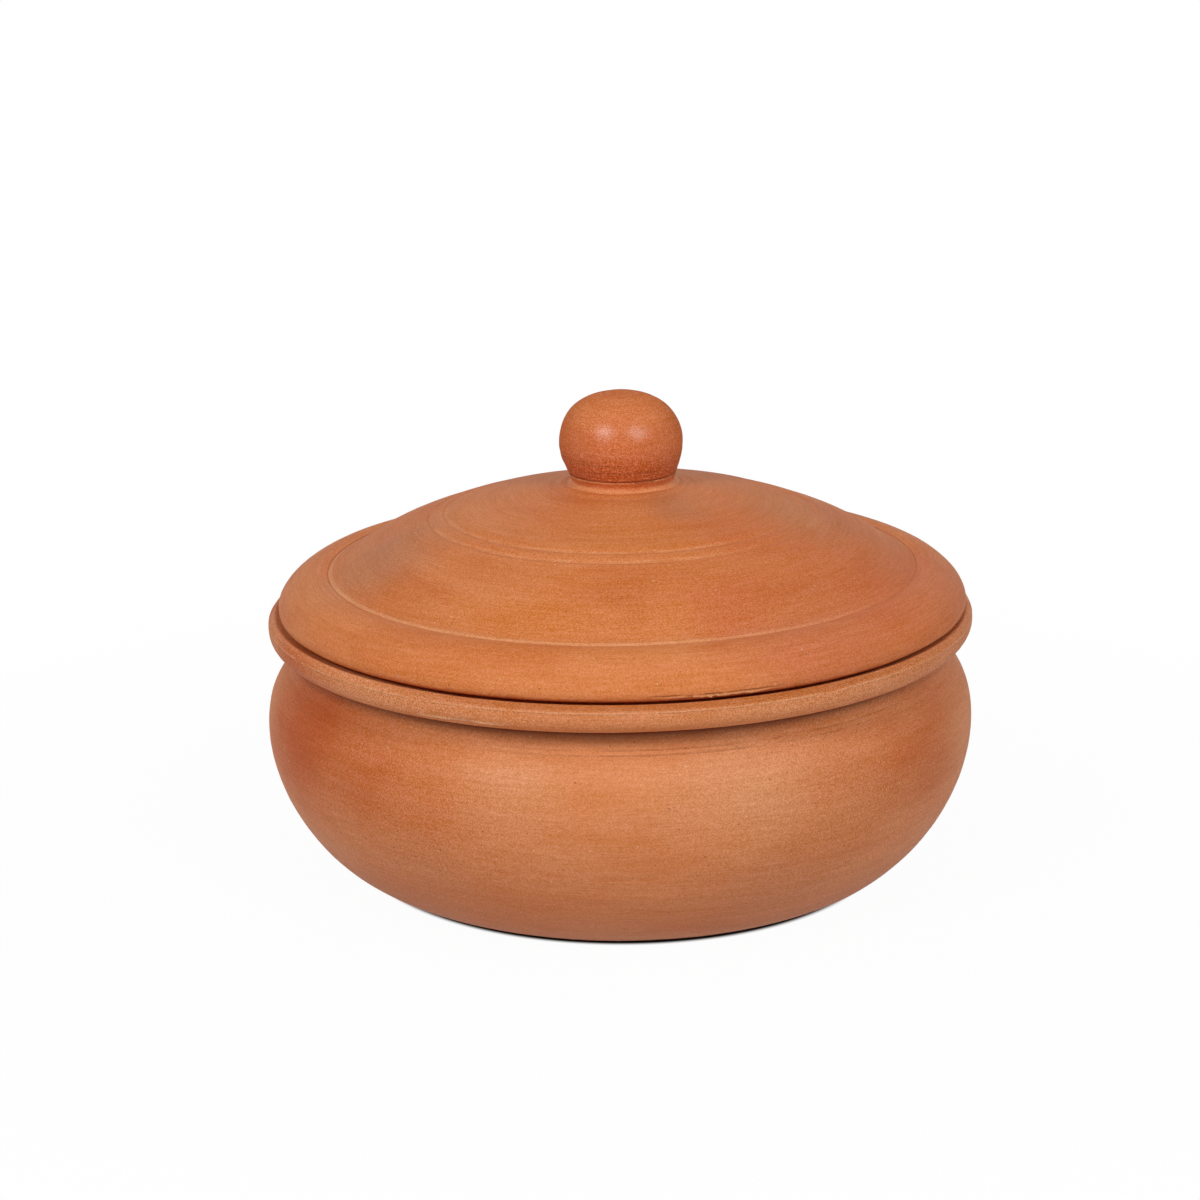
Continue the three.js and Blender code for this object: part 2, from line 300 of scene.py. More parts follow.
POT_PATCHES = (
    Patch("ember", -62, 57 * MM, 56 * MM, 0.95),
    Patch("ember", -40, 52 * MM, 46 * MM, 0.5),
    Patch("red", -14, 26 * MM, 44 * MM, 0.3),
    Patch("ember", 54, 56 * MM, 40 * MM, 0.6),
    Patch("red", 36, 54 * MM, 36 * MM, 0.4),
    Patch("ember", -96, 80 * MM, 40 * MM, 1.0),
    Patch("pale", 0, 80 * MM, 30 * MM, 0.5),
    Patch("pale", -42, 80 * MM, 30 * MM, 0.9),
    Patch("ember", -64, 80 * MM, 20 * MM, 0.45),
    Patch("tan", -24, 77 * MM, 5 * MM, 0.8),
    # Painted highlights: these two tan patches on the belly stand for the soft boxes' sheen
    Patch("tan", -16, 59 * MM, 26 * MM, 0.6),
    Patch("tan", 20, 60 * MM, 36 * MM, 0.6),
    Patch("low_brown", 25, 22 * MM, 40 * MM, 0.3),
    Patch("low_brown", -35, 20 * MM, 40 * MM, 0.25),
)

# Lid: within how many rings of the mesh the dome's foot follows the groove
GROOVE_RINGS = 12

# Lid: its scratched rings, and how far they and the groove are filled or cut, as depth and width
SCRATCH_RADII = {"inner ring": 56.8 * MM, "outer ring": 62.0 * MM}
GROOVE_SWELL = (0.6 * MM, 0.9 * MM)
SCRATCH_SWELL = (0.12 * MM, 0.9 * MM)
SCRATCH_CUT = (-0.15 * MM, 0.3 * MM)
SCRATCH_CUT_BEFORE = 0.6 * MM

# Lid: lumps and throwing lines as on the pot, a slow warp, and the torn edge under the rim
LID_WARP = (0.1 * MM, 60 * MM)
LID_WARP_FROM = 0.5
LID_LUMPS = ((0.05 * MM, 11 * MM), (0.02 * MM, 2 * MM))
LID_THROWS = ((0.05 * MM, 3.1 * MM), (0.025 * MM, 1.3 * MM))
TEAR_BEFORE = 1.2 * MM
TEAR_WIDTH = 1.2 * MM
TEAR_DEPTH = 0.15 * MM
TEAR_SIZE = 1.0 * MM
BURR_BEFORE = 1.4 * MM
BURR_WIDTH = 0.5 * MM
BURR_HEIGHT = 0.7 * MM
BURR_SIZE = 1.2 * MM
BURR_LEVEL = 0.3
BURR_TURN = 15
BURR_SPANS = (4, 9)

# Lid: tones as sRGB, finish, its lines, those of each scratched ring, and patches, placed by radius
# Lid tones: scratch is the tone of pale scratches and also of the painted highlights on the burr, the dome's
# foot and the scratched rings
LID_TONES = {
    "body": (212, 120, 62), "pale": (219, 133, 77), "red": (196, 97, 43), "ember": (206, 96, 46),
    "sun": (216, 126, 63), "grey_tan": (186, 124, 86), "rose": (202, 108, 68), "scratch": (236, 168, 118),
    "dark": (112, 56, 30), "chalk": (240, 208, 176),
}
LID_FINISH = MATT._replace(grain=0.18)
SMOOTH_RIM = Coarse("rim", width=14 * MM, factor=0.8)
LID_LINES = (
    Line("pale", "rim", -1.6 * MM, width=1.8 * MM, strength=0.5, breaks=0.3),
    Line("scratch", "rim", -2.9 * MM, width=0.4 * MM, strength=0.45, breaks=0.48, rise=0.8),
    # Painted shadow: a dark line above the burr on the torn edge
    Line("dark", "rim", -0.7 * MM, width=0.25 * MM, strength=0.5, breaks=0.45, rise=-2.0, side=Side(14, 13)),
    # Painted highlight: a pale ragged line on the burr's ridge, where it catches the light
    Line("scratch", "rim", -1.4 * MM, width=0.5 * MM, strength=0.9, breaks=0.4, rise=2.0, side=Side(15, 10)),
    # Painted highlight: a pale line along the dome's foot, on the side towards the lamps
    Line("scratch", "foot", 0, width=1.0 * MM, strength=0.5, breaks=0.25, rise=0.6, side=Side(-35, 120)),
    Line(
        "scratch", "groove", -3 * MM, width=0.4 * MM, strength=0.4,
        breaks=0.45, rise=0.3, side=Side(-75, 40),
    ),
)
# Painted highlight and shade on each scratched ring: a pale line on the wall that faces the lamps and a dark
# line on the other
RING_LINES = (
    Line("scratch", "ring", 0.5 * MM, width=1.1 * MM, strength=0.3, breaks=0.42, side=Side(-25, 100)),
    Line(
        "dark", "ring", -0.7 * MM, width=0.35 * MM, strength=0.3,
        breaks=0.42, rise=-0.6, side=Side(-35, 90),
    ),
)
LID_PATCHES = (
    # Painted highlight: a yellow-orange patch at the front left, where the left box's sheen falls
    Patch("sun", -17, 86 * MM, 22 * MM, 0.5),
    Patch("ember", 22, 83 * MM, 26 * MM, 0.4),
    Patch("ember", 60, 92 * MM, 44 * MM, 0.5),
    Patch("ember", 45, 60 * MM, 34 * MM, 0.3),
    Patch("grey_tan", -72, 80 * MM, 36 * MM, 0.6),
    # Painted sheen: this grey-tan patch right of the crown stands for a sheen
    Patch("grey_tan", 35, 28 * MM, 20 * MM, 0.5),
    Patch("grey_tan", 80, 60 * MM, 34 * MM, 0.35),
    Patch("rose", 36, 108 * MM, 54 * MM, 0.7),
    Patch("rose", 78, 106 * MM, 50 * MM, 0.6),
    Patch("sun", 0, 60 * MM, 40 * MM, 0.3),
    Patch("red", 0, 76 * MM, 20 * MM, 0.4),
    Patch("pale", 0, 109 * MM, 30 * MM, 0.5),
    Patch("pale", 0, 30 * MM, 18 * MM, 0.7),
)

# Knob: a brim under the ball with a painted highlight, and creases above it darkened as painted shade, at
# heights above the pot's foot
BRIM_HEIGHT = 129.2 * MM
BRIM_SWELL = (0.15 * MM, 0.5 * MM)
KNOB_CREASE_HEIGHTS = {"low crease": 131.4 * MM, "middle crease": 133.8 * MM, "high crease": 135.2 * MM}
KNOB_CREASE_SIDES = {"low crease": Side(20, 70), "middle crease": Side(-40, 60), "high crease": Side(-70, 50)}
KNOB_LINES = (
    # Painted highlight: a pale line along the brim's ridge, where it catches the light
    Line("pale", "brim", 0, width=0.4 * MM, strength=0.7, breaks=0.4, rise=0.8),
    # Painted shade: dark lines in the creases on the ball
    *(
        Line("dark", crease, 0, width=0.2 * MM, strength=0.5, breaks=0.46, rise=-1.2, side=side)
        for crease, side in KNOB_CREASE_SIDES.items()
    ),
)

# Knob: lumps, and throwing lines as spacing, depth, and depth added from KNOB_PLAIN down to KNOB_RINGED
KNOB_LUMPS = ((0.15 * MM, 15 * MM), (0.05 * MM, 5 * MM))
KNOB_THROWS = ((1.8 * MM, 0.02 * MM, 0.08 * MM), (0.8 * MM, 0.01 * MM, 0.04 * MM))
KNOB_RINGED = 134 * MM
KNOB_PLAIN = 142 * MM

# Knob: tones as sRGB, and finish
KNOB_TONES = {
    "body": (206, 107, 48), "pale": (213, 118, 57), "red": (184, 84, 35),
    "dark": (100, 48, 26), "chalk": (225, 180, 145),
}
KNOB_FADE = Fade("red", start=141 * MM, end=130 * MM, strength=0.6)
KNOB_COARSE = Coarse("bottom", width=34 * MM, factor=1.8)
KNOB_FINISH = Finish(grain=0.24, relief=0.3, roughness=(0.24, 0.35), sheen=0.48, matt_edge=0.62)

# Coil under the ball: it sinks into the crown, which climbs to meet it, and its top is tucked to the ball
FILLET_RADIUS = 20 * MM
FILLET_RISE = 1.2 * MM
FILLET_RUN = 1.4 * MM
COLLAR_SINK = 1.1 * MM
TUCK_OUT = 0.4 * MM
TUCK_UP = 0.65 * MM
TUCK_HEIGHTS = (126.5 * MM, 128 * MM)
COLLAR_TOP_WEIGHT = 2

# Coil: lumps and throwing lines as on the pot, tones as sRGB, lines and finish
COLLAR_LUMPS = ((0.2 * MM, 7 * MM), (0.04 * MM, 1.2 * MM))
COLLAR_THROWS = ((0.08 * MM, 1.2 * MM),)
COLLAR_TONES = {
    "body": (224, 140, 86), "pale": (230, 154, 100), "red": (204, 106, 58),
    "crown": (206, 116, 62), "dark": (105, 52, 28), "chalk": (232, 190, 155),
}
COLLAR_LINES = (
    # Painted shade: a dark line in the crease between the coil's top and the ball
    Line("dark", "top", 0.4 * MM, width=0.6 * MM, strength=0.15, breaks=0.3, rise=-1.0),
    Line("crown", "edge", 0, width=3.0 * MM, strength=0.9),
)
# Painted shade: the coil's top, under the ball's overhang, turns a darker red as the ball's shadow
COLLAR_FADE = Fade("red", start=125.2 * MM, end=126.4 * MM, strength=0.8)
COLLAR_FINISH = MATT._replace(grain=0.2)


# Noise and easing

def ease(value, start, end):
    """0 before start, 1 after end, and smooth between them."""
    share = np.clip((value - start) / (end - start), 0, 1)
    return share * share * (3 - 2 * share)


def noise(place, size):
    """Smooth noise from -1 to 1 at places (..., 3), in lumps of about that size."""
    at = place / size
    cell = np.floor(at).astype(int)
    part = at - cell
    part = part * part * (3 - 2 * part)
    total = np.zeros(place.shape[:-1])
    for corner in np.ndindex(2, 2, 2):
        near = (cell + corner) % LATTICE_SIZE
        weight = np.where(corner, part, 1 - part).prod(-1)
        total += weight * LATTICE[near[..., 0], near[..., 1], near[..., 2]]
    return total


# Outlines

def meridian(node):
    """A turned node's outline as (radius, height) points, clay on the left, and whether it is a loop."""
    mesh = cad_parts[node].data
    place = [tuple(round(c, 6) for c in v.co) for v in mesh.vertices]
    links = {}
    for face in mesh.polygons:
        corners = [place[i] for i in face.vertices]
        for a, b in zip(corners, corners[1:] + corners[:1]):
            if a != b and all(abs(p[1]) < TOUCH and p[0] > -TOUCH for p in (a, b)):
                links.setdefault(a, set()).add(b)
                links.setdefault(b, set()).add(a)
    ends = [p for p in links if len(links[p]) == 1]
    walk = [min(ends or links, key=lambda p: p[2])]
    while True:
        onward = [p for p in links[walk[-1]] if p not in walk]
        if not onward:
            break
        walk.append(onward[0])
    line = np.array([(p[0], p[2]) for p in walk])
    if ends:
        line[[0, -1], 0] = 0
        return line, False
    line = np.vstack([line, line[:1]])
    area = np.sum(line[:-1, 0] * line[1:, 1] - line[1:, 0] * line[:-1, 1])
    return (line if area > 0 else line[::-1]), True


def arcs(line):
    """How far along a line each of its points is."""
    return np.concatenate([[0], np.cumsum(np.linalg.norm(np.diff(line, axis=0), axis=1))])


def curve(points):
    """A smooth curve through the points, DENSE apart, without its last point."""
    knots = arcs(points)
    at = np.linspace(0, knots[-1], max(2, math.ceil(knots[-1] / DENSE)), endpoint=False)
    if len(points) > 2:
        slopes = np.gradient(points, knots, axis=0, edge_order=2)
    else:
        slopes = np.repeat(np.diff(points, axis=0) / knots[-1], 2, axis=0)
    span = np.clip(np.searchsorted(knots, at, side="right") - 1, 0, len(points) - 2)
    width = (knots[span + 1] - knots[span])[:, None]
    t = (at - knots[span])[:, None] / width
    rise = t * t * (3 - 2 * t)
    leave = t * (1 - t) ** 2 * width
    arrive = t * t * (t - 1) * width
    between = points[span] * (1 - rise) + points[span + 1] * rise
    return between + slopes[span] * leave + slopes[span + 1] * arrive


def smooth_line(line):
    """The outline as a dense smooth line that breaks at corners and at the ends of straight stretches."""
    step = np.diff(line, axis=0)
    length = np.abs(step)
    straight = (length.min(axis=1) < TOUCH) & (length.max(axis=1) > STRAIGHT)
    heading = np.arctan2(step[:, 1], step[:, 0])
    turn = np.abs((np.diff(heading) + math.pi) % (2 * math.pi) - math.pi)
    breaks = (turn > CORNER) | straight[1:] | straight[:-1]
    stops = [0, *(np.flatnonzero(breaks) + 1), len(line) - 1]
    runs = [curve(line[a:b + 1]) for a, b in zip(stops, stops[1:])]
    return np.vstack([*runs, line[-1:]])


def blurred(values, width, loop):
    """Values along a dense line, averaged over about that width. An open line keeps its ends."""
    reach = max(1, round(BLUR_REACH * width / DENSE))
    weight = np.exp(-0.5 * (np.arange(-reach, reach + 1) * DENSE / width) ** 2)
    weight /= weight.sum()
    if loop:
        padded = np.concatenate([values[-reach - 1:-1], values, values[1:reach + 1]])
    else:
        before = 2 * values[0] - values[reach:0:-1]
        after = 2 * values[-1] - values[-2:-reach - 2:-1]
        padded = np.concatenate([before, values, after])
    return np.apply_along_axis(np.convolve, 0, padded, weight, "valid")


def outline(node):
    """The rings that a piece is turned from: fine outside and at edges, coarser inside."""
    line, loop = meridian(node)
    line = blurred(smooth_line(line), SOFTENING, loop)
    arc = arcs(line)
    slope = np.gradient(line, arc, axis=0)
    slope /= np.linalg.norm(slope, axis=1)[:, None]
    out, up = slope[:, 1], -slope[:, 0]
    heading = np.unwrap(np.arctan2(slope[:, 1], slope[:, 0]))
    reach = round(EDGE_SPAN / DENSE)
    later = np.minimum(np.arange(len(line)) + reach, len(line) - 1)
    sooner = np.maximum(np.arange(len(line)) - reach, 0)
    bend = (heading[later] - heading[sooner]) / (math.pi / 2)

    shown = (out > FACING_OUT) | (line[:, 1] > TOP_SHARE * line[:, 1].max())
    spacing = np.where(shown, OUTSIDE, INSIDE)
    curving = np.abs(np.gradient(heading, arc))
    spacing = np.clip(STEP_TURN / np.maximum(curving, 1), FINE, spacing)
    density = blurred(1 / spacing, GRADING, loop)
    count = np.concatenate([[0], np.cumsum((density[1:] + density[:-1]) / 2 * np.diff(arc))])
    at = np.interp(np.linspace(0, count[-1], math.ceil(count[-1]) + 1), count, arc)

    def picked(values):
        return np.interp(at, arc, values)

    return SimpleNamespace(
        loop=loop, arc=at, radius=picked(line[:, 0]), height=picked(line[:, 1]),
        out=picked(out), up=picked(up), bend=picked(bend),
    )


def nearest(values, aim, first, last):
    """The index from first to last at which a value comes nearest to an aim."""
    return first + int(np.argmin(np.abs(values[first:last] - aim)))


def on_ring(rings, index, turn):
    """The point of a ring at a turn."""
    angle = math.radians(turn)
    radius = rings.radius[index]
    return np.array([radius * math.sin(angle), -radius * math.cos(angle), rings.height[index]])


def swell(rings, index, depth, width):
    """Moves the outline out round a ring, most at the ring itself."""
    amount = depth * np.exp(-((rings.arc - rings.arc[index]) / width) ** 2)
    rings.radius = rings.radius + rings.out * amount
    rings.height = rings.height + rings.up * amount


# Turned surfaces

def surface(rings, facets, shift):
    """Places, normals, arcs and turns of a turned surface, as arrays with a row for each ring."""
    turn = np.arange(facets) * (2 * math.pi / facets)

    def spun(out, up):
        level = np.repeat(up[:, None], facets, axis=1)
        return np.stack([out[:, None] * np.sin(turn), -out[:, None] * np.cos(turn), level], axis=-1)

    place = spun(rings.radius, rings.height)
    place[..., 0] += np.broadcast_to(shift, rings.arc.shape)[:, None]
    around = np.stack(np.broadcast_arrays(rings.arc[:, None], np.sin(turn), np.cos(turn)), axis=-1)
    return SimpleNamespace(
        place=place, normal=spun(rings.out, rings.up), around=around,
        turn=np.degrees(turn), arc=rings.arc[:, None],
    )


def throwing_lines(skin, spacing):
    """Noise in rings round the axis, a spacing apart, that changes slowly on the way round."""
    return noise(skin.around * np.array([1 / spacing, WANDER, WANDER]), 1.0)


def marks(skin, lumps, throws):
    """How far the hand and the wheel moved a surface out: lumps and throwing lines of given depths."""
    out = sum(depth * noise(skin.place, size) for depth, size in lumps)
    return out + sum(depth * throwing_lines(skin, spacing) for depth, spacing in throws)


def ridge(skin, arc, width):
    """1 on a circle round the piece, and less with the distance from it."""
    return np.exp(-((skin.arc - arc) / width) ** 2)


def angle_from(skin, turn):
    """How far each facet is from a turn, in degrees."""
    return np.abs((skin.turn - turn + 180) % 360 - 180)


def dent(skin, centre, size, depth):
    """A ragged hollow of that size and depth round a point on the surface."""
    ragged = 1 + DENT_RAGGED * noise(skin.place, size / DENT_LUMPS)
    far = np.linalg.norm(skin.place - centre, axis=-1) * ragged
    return -depth * ease(-far, -size, -size * DENT_FLOOR)


def lean(place):
    """Places moved up on the right and down on the left, more with height."""
    leaning = place.copy()
    leaning[..., 2] += place[..., 0] * math.tan(LEAN) * ease(place[..., 2], LEAN_START, LEAN_FULL)
    return leaning


def bands(rings, facets):
    """The four-sided faces between neighbouring rings, and the UVs of their corners."""
    start = 0 if rings.loop else 1
    kept = len(rings.arc) - 1 - start
    low = np.arange(kept if rings.loop else kept - 1)
    high = (low + 1) % kept
    near = np.arange(facets)
    far = (near + 1) % facets
    sides = ((low, near), (low, far), (high, far), (high, near))
    faces = np.stack([ring[:, None] * facets + facet for ring, facet in sides], axis=-1).reshape(-1, 4)
    share = rings.arc / rings.arc[-1]
    bottom, top = share[start + low], share[start + low + 1]
    left, right = near / facets, (near + 1) / facets
    corners = ((left, bottom), (right, bottom), (right, top), (left, top))
    uv = np.stack([np.stack(np.meshgrid(u, v), -1) for u, v in corners], axis=2).reshape(-1, 2)
    return faces, uv


def caps(rings, facets):
    """The three-sided faces that close an open outline at the axis, and the UVs of their corners."""
    kept = len(rings.arc) - 2
    near = np.arange(facets)
    far = (near + 1) % facets
    pole = np.full(facets, kept * facets)
    last = (kept - 1) * facets
    faces = np.vstack([
        np.stack([pole, far, near], axis=-1),
        np.stack([last + near, last + far, pole + 1], axis=-1),
    ])
    share = rings.arc / rings.arc[-1]
    left, right = near / facets, (near + 1) / facets
    middle = (left + right) / 2
    corners = (
        ((middle, 0), (right, share[1]), (left, share[1])),
        ((left, share[-2]), (right, share[-2]), (middle, 1)),
    )
    uv = [[np.stack(np.broadcast_arrays(u, v), -1) for u, v in cap] for cap in corners]
    return faces, np.vstack([np.stack(cap, axis=1).reshape(-1, 2) for cap in uv])


def turned(name, rings, facets, offset, shift=0.0):
    """A mesh object turned from rings, moved out by offset and right by shift, leaning as the pot does."""
    skin = surface(rings, facets, shift)
    place = lean(skin.place + skin.normal * offset(skin)[..., None])
    kept = slice(0, -1) if rings.loop else slice(1, -1)
    points = place[kept].reshape(-1, 3)
    quads, uv = bands(rings, facets)
    faces = quads.tolist()
    if not rings.loop:
        points = np.vstack([points, place[0].mean(axis=0), place[-1].mean(axis=0)])
        triangles, cap_uv = caps(rings, facets)
        faces += triangles.tolist()
        uv = np.vstack([uv, cap_uv])

    mesh = bpy.data.meshes.new(name)
    mesh.from_pydata(points.tolist(), [], faces)
    mesh.shade_smooth()
    layer = mesh.uv_layers.new(name="OFBake")
    layer.uv.foreach_set("vector", uv.astype(np.float32).ravel())
    for attribute, values in (("arc", rings.arc), ("bend", rings.bend)):
        column = np.repeat(values[kept], facets)
        if not rings.loop:
            column = np.concatenate([column, values[[0, -1]]])
        made = mesh.attributes.new(attribute, "FLOAT", "POINT")
        made.data.foreach_set("value", column.astype(np.float32))
    mesh.validate()
    piece = bpy.data.objects.new(name, mesh)
    bpy.context.scene.collection.objects.link(piece)
    return piece


# Clay

def linear(colour):
    """An sRGB colour from 0 to 255 as linear light with full alpha."""
    share = np.array(colour) / 255
    light = np.where(share <= 0.04045, share / 12.92, ((share + 0.055) / 1.055) ** 2.4)
    return (*light.tolist(), 1.0)


class Graph:
    """One material's nodes, with short ways to add to them."""

    def __init__(self, name):
        self.material = bpy.data.materials.new(name)
        self.material.use_nodes = True
        self.tree = self.material.node_tree
        self.shader = self.tree.nodes["Principled BSDF"]
        self.place = self.add("TexCoord").outputs["Object"]

    def add(self, kind, settings=None, **inputs):
        node = self.tree.nodes.new("ShaderNode" + kind)
        for key, value in (settings or {}).items():
            setattr(node, key, value)
        for key, value in inputs.items():
            self.feed(node.inputs[key.replace("_", " ")], value)
        return node

    def feed(self, socket, value):
        if isinstance(value, bpy.types.NodeSocket):
            self.tree.links.new(value, socket)
        else:
            socket.default_value = value

    def operate(self, kind, operation, values):
        node = self.add(kind, {"operation": operation})
        for socket, value in zip(node.inputs, values):
            self.feed(socket, value)
        return node.outputs

    def math(self, operation, *values):
        return self.operate("Math", operation, values)[0]

    def vector(self, operation, *values):
        return self.operate("VectorMath", operation, values)["Vector"]

    def measure(self, operation, *values):
        return self.operate("VectorMath", operation, values)["Value"]

    def attribute(self, name):
        return self.add("Attribute", {"attribute_name": name}).outputs["Fac"]

    def along(self, stretch):
        """Coordinates that run long round the axis and short along the outline."""
        split = self.add("SeparateXYZ", Vector=self.place)
        join = self.add(
            "CombineXYZ",
            X=self.math("MULTIPLY", split.outputs["X"], stretch),
            Y=self.math("MULTIPLY", split.outputs["Y"], stretch),
            Z=self.attribute("arc"),
        )
        return join.outputs[0]

    def height(self):
        return self.add("SeparateXYZ", Vector=self.place).outputs["Z"]

    def noise(self, pattern, start=None):
        """A pattern's values, about 0.5, over the piece. A start makes it differ from a like pattern."""
        vector = self.along(pattern.stretch) if pattern.stretch else self.place
        if start:
            vector = self.vector("ADD", vector, start)
        node = self.add(
            "TexNoise", Vector=vector, Scale=1 / pattern.size,
            Detail=pattern.detail, Roughness=pattern.roughness,
        )
        return node.outputs["Fac"]

    def spread(self, value, low, high, start=0.0, end=1.0):
        """Maps low to high onto start to end, smoothly."""
        node = self.add(
            "MapRange", {"interpolation_type": "SMOOTHSTEP"},
            Value=value, From_Min=low, From_Max=high, To_Min=start, To_Max=end,
        )
        return node.outputs["Result"]

    def blend(self, share, first, second):
        node = self.add("Mix", {"data_type": "RGBA"})
        self.feed(node.inputs[0], share)
        self.feed(node.inputs[6], first)
        self.feed(node.inputs[7], second)
        return node.outputs[2]

    def lighter(self, colour, value):
        """A colour made lighter and duller, or darker and richer, by a factor."""
        richer = self.math("MULTIPLY_ADD", value, -DULLING, 1 + DULLING)
        return self.add("HueSaturation", Saturation=richer, Value=value, Color=colour).outputs[0]

    def spot(self, centre, size):
        """1 in the middle of a patch round a point and 0 outside it."""
        away = self.vector("MULTIPLY", self.vector("SUBTRACT", self.place, centre), (1, 1, PATCH_FLAT))
        wave = self.noise(Pattern(size * PATCH_WAVE, detail=PATCH_DETAIL))
        ragged = PATCH_RAGGED * size
        wave = self.math("MULTIPLY_ADD", wave, 2 * ragged, -ragged)
        return self.spread(self.math("ADD", self.measure("LENGTH", away), wave), size, 0)

    def side(self, side):
        """1 in the middle of a side of the piece, and 0 a span of degrees away from it."""
        flat = self.vector("NORMALIZE", self.vector("MULTIPLY", self.place, (1, 1, 0)))
        angle = math.radians(side.turn)
        facing = self.measure("DOT_PRODUCT", flat, (math.sin(angle), -math.cos(angle), 0))
        return self.spread(facing, math.cos(math.radians(side.span)), 1)

    def away(self, arc):
        """How far along the outline a place is from a circle round the piece."""
        return self.math("ABSOLUTE", self.math("SUBTRACT", self.attribute("arc"), arc))

    def line(self, line, arc):
        """1 on a line at an arc and 0 a width away from it, with its gaps, and only on its side."""
        near = self.spread(self.away(arc), line.width, line.width * LINE_CORE)
        gaps = self.noise(GAPS, start=(arc, *GAPS_FROM))
        kept = self.spread(gaps, line.breaks - GAP_SOFTNESS, line.breaks + GAP_SOFTNESS)
        share = self.math("MULTIPLY", near, kept)
        return self.math("MULTIPLY", share, self.side(line.side)) if line.side else share

    def specks(self, specks):
        """1 on small round specks and 0 between them."""
        cells = self.add("TexVoronoi", Vector=self.place, Scale=1 / specks.spacing, Randomness=1.0)
        draw = self.add("SeparateColor", Color=cells.outputs["Color"]).outputs[0]
        size = specks.size / specks.spacing
        near = self.spread(cells.outputs["Distance"], size, size * SPECK_CORE)
        return self.math("MULTIPLY", near, self.math("LESS_THAN", draw, specks.kept))


def fired_tones(g, tone, wheel, fade, patches):
    """The clay's colour without grain: slow changes of tone, patches, rings from the wheel and worn edges."""
    colour = g.blend(g.spread(g.noise(SLOW), *SLOW_RANGE), tone["body"], tone["pale"])
    colour = g.blend(g.spread(g.noise(FLUSH), *FLUSH_RANGE, 0.0, FLUSH_MOST), colour, tone["red"])
    if fade:
        share = g.spread(g.height(), fade.start, fade.end, 0.0, fade.strength)
        colour = g.blend(share, colour, tone[fade.tone])
    for patch, centre in patches:
        share = g.math("MULTIPLY", g.spot(centre, patch.size), patch.strength)
        colour = g.blend(share, colour, tone[patch.tone])
    colour = g.blend(g.spread(wheel, *WHEEL_RANGE, 0.0, WHEEL_MOST), colour, tone["red"])
    worn = g.spread(g.noise(WEAR), *WEAR_RANGE, *WEAR_SHARES)
    edge = g.math("MULTIPLY", g.spread(g.attribute("bend"), *WORN_BENDS), worn)
    return g.blend(edge, colour, tone["pale"])


def sand_light(g, sand, grain, circles, coarse, grazing_grain_sides):
    """How much lighter or darker the sand makes the clay, more in a coarse band, and more on given sides as
    painted shading of the grain under grazing light.
    """
    light = g.spread(sand, *LIGHT_RANGE, -grain, grain)
    if coarse:
        far = g.away(circles[coarse.circle])
        band = g.spread(far, coarse.width, coarse.width * COARSE_CORE, 1.0, coarse.factor)
        light = g.math("MULTIPLY", light, band)
    # Painted shading: the grain is drawn stronger on these sides, as grazing light would show its relief
    for side in grazing_grain_sides:
        light = g.math("MULTIPLY", light, g.math("MULTIPLY_ADD", g.side(side), GRAZING_GRAIN_MORE, 1.0))
    return light


def marked(g, tone, share, mark, colour, height):
    """The colour and the height with a line or specks added, by a share at each place."""
    colour = g.blend(g.math("MULTIPLY", share, mark.strength), colour, tone[mark.tone])
    return colour, g.math("MULTIPLY_ADD", share, mark.rise, height)


def clay(name, tones, finish, circles, lines, patches=(), fade=None, coarse=None, grazing_grain_sides=()):
    """Fired clay: its tones, lines, sand grain, pits and chalk, with painted shading of the grain on given
    sides. Circles has the arc of each named circle.
    """
    g = Graph(name)
    tone = {key: linear(value) for key, value in tones.items()}
    wheel, streaks, sand = g.noise(WHEEL), g.noise(STREAKS), g.noise(SAND)
    clumps = g.noise(CLUMPS, start=CLUMPS_FROM)
    colour = fired_tones(g, tone, wheel, fade, patches)
    height = g.math("MULTIPLY_ADD", clumps, CLUMP_RELIEF, sand)
    height = g.math("MULTIPLY_ADD", streaks, STREAK_RELIEF, height)
    for line in lines:
        share = g.line(line, circles[line.circle] + line.past)
        colour, height = marked(g, tone, share, line, colour, height)

    light = g.math("ADD", sand_light(g, sand, finish.grain, circles, coarse, grazing_grain_sides), 1.0)
    for pattern, share in ((clumps, CLUMP_LIGHT), (streaks, STREAK_LIGHT), (wheel, WHEEL_LIGHT)):
        light = g.math("ADD", g.spread(pattern, *LIGHT_RANGE, -share, share), light)
    colour = g.lighter(colour, light)
    for specks in (PITS, CHALK):
        colour, height = marked(g, tone, g.specks(specks), specks, colour, height)

    rough = g.spread(sand, *ROUGHNESS_RANGE, *finish.roughness)
    if finish.matt_edge:
        facing = g.add("LayerWeight").outputs["Facing"]
        rough = g.math("ADD", rough, g.spread(facing, *MATT_RANGE, 0.0, finish.matt_edge))
    bump = g.add("Bump", Strength=finish.relief, Distance=RELIEF_DEPTH, Height=height)
    g.feed(g.shader.inputs["Base Color"], colour)
    g.feed(g.shader.inputs["Roughness"], rough)
    g.feed(g.shader.inputs["Specular IOR Level"], finish.sheen)
    g.feed(g.shader.inputs["Normal"], bump.outputs["Normal"])
    return g.material


def placed(patches, rings, values, first, last):
    """Patches with their centres, on the ring from first to last where a value comes nearest to theirs."""
    return [
        (patch, on_ring(rings, nearest(values, patch.at, first, last), patch.turn))
        for patch in patches
    ]


def dress(piece, material, body, node):
    """Gives a piece its clay, and puts it in place of a node."""
    piece.data.materials.append(material)
    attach(piece, body)
    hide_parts(node)


# Pot

